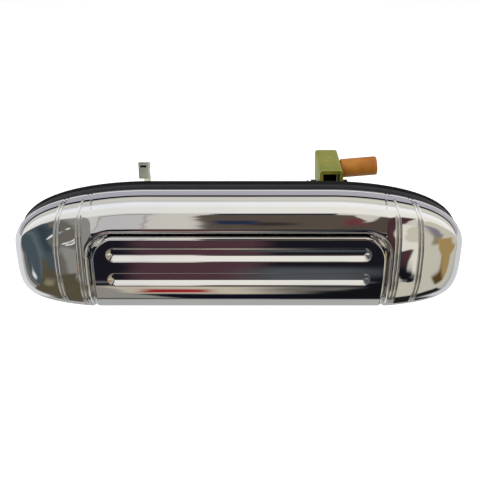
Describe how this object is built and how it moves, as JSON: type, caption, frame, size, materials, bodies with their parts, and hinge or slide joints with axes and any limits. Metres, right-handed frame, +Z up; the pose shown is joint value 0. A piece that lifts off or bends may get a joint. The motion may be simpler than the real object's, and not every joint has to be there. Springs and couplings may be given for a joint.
{
  "type": "car door handle",
  "caption": "Chromed lift-flap outside car door handle: domed bezel with finger flap, black base, gasket, pocket tray, sprung flap arms, latch lever and rod clip.",
  "frame": {"origin": "centre of the plane where the gasket sits on the door skin", "axes": "+X to the right along the handle, +Y into the door, +Z up; the flap faces -Y"},
  "size_m": [0.2224, 0.0864, 0.0615],
  "materials": {
    "chrome_die_cast": "polished bright chrome plate",
    "black_moulding": "black glass-filled nylon, fine grain",
    "black_tray": "black polypropylene",
    "black_rubber": "moulded EPDM",
    "acetal_bush": "natural acetal",
    "clear_zinc_steel": "clear zinc plate",
    "pin_steel": "bright zinc plate",
    "spring_steel": "drawn spring wire",
    "yellow_zinc_lever": "yellow chromate zinc plate",
    "amber_acetal": "moulded orange-brown acetal",
    "black_screw": "black zinc plate"
  },
  "bodies": {
    "housing": {"bezel": "chrome_die_cast", "base_frame": "black_moulding", "pocket_tray": "black_tray", "gasket": "black_rubber", "stop_bumper_left": "black_rubber", "stop_bumper_right": "black_rubber", "flap_pin": "pin_steel", "lever_pin": "pin_steel", "stud_left": "pin_steel", "stud_right": "pin_steel", "washer_left": "pin_steel", "washer_right": "pin_steel", "flap_spring_left": "spring_steel", "flap_spring_right": "spring_steel", "lever_spring": "spring_steel", "flap_pin_clip": "spring_steel", "lever_pin_clip": "spring_steel", "nut_left": "yellow_zinc_lever", "nut_right": "yellow_zinc_lever", "bezel_screw_left_1": "black_screw", "bezel_screw_left_2": "black_screw", "bezel_screw_right_1": "black_screw", "bezel_screw_right_2": "black_screw"},
    "flap": {"flap": "chrome_die_cast", "flap_cover": "black_tray", "flap_bush_left": "acetal_bush", "flap_bush_right": "acetal_bush", "arm_left": "clear_zinc_steel", "arm_right": "clear_zinc_steel", "arm_screw_left_1": "pin_steel", "arm_screw_left_2": "pin_steel", "arm_screw_right_1": "pin_steel", "arm_screw_right_2": "pin_steel"},
    "latch_lever": {"lever": "yellow_zinc_lever", "push_pin": "pin_steel"},
    "clip": {"rod_clip": "amber_acetal"}
  },
  "joints": [
    {"name": "flap_pull", "type": "hinge", "parent": "housing", "child": "flap", "pos_m": [0, -0.0233, 0.008], "axis": [-1, 0, 0], "range_deg": [0, 20], "stiffness_Nm_per_rad": 0.8, "springref_deg": -9.74, "deforming": ["flap_spring_left", "flap_spring_right"]},
    {"name": "lever_swing", "type": "hinge", "parent": "housing", "child": "latch_lever", "pos_m": [0.0495, 0.034, 0.011], "axis": [1, 0, 0], "range_deg": [0, 26], "stiffness_Nm_per_rad": 0.12, "springref_deg": -11.46, "deforming": ["lever_spring"]},
    {"name": "rod_clip_turn", "type": "hinge", "parent": "latch_lever", "child": "clip", "pos_m": [0.05575, 0.046, 0.0196], "axis": [0.9962, 0, 0.0872], "continuous": true}
  ],
  "couplings": [
    {"joint": "lever_swing", "follows": "flap_pull", "ratio": 1.3}
  ]
}
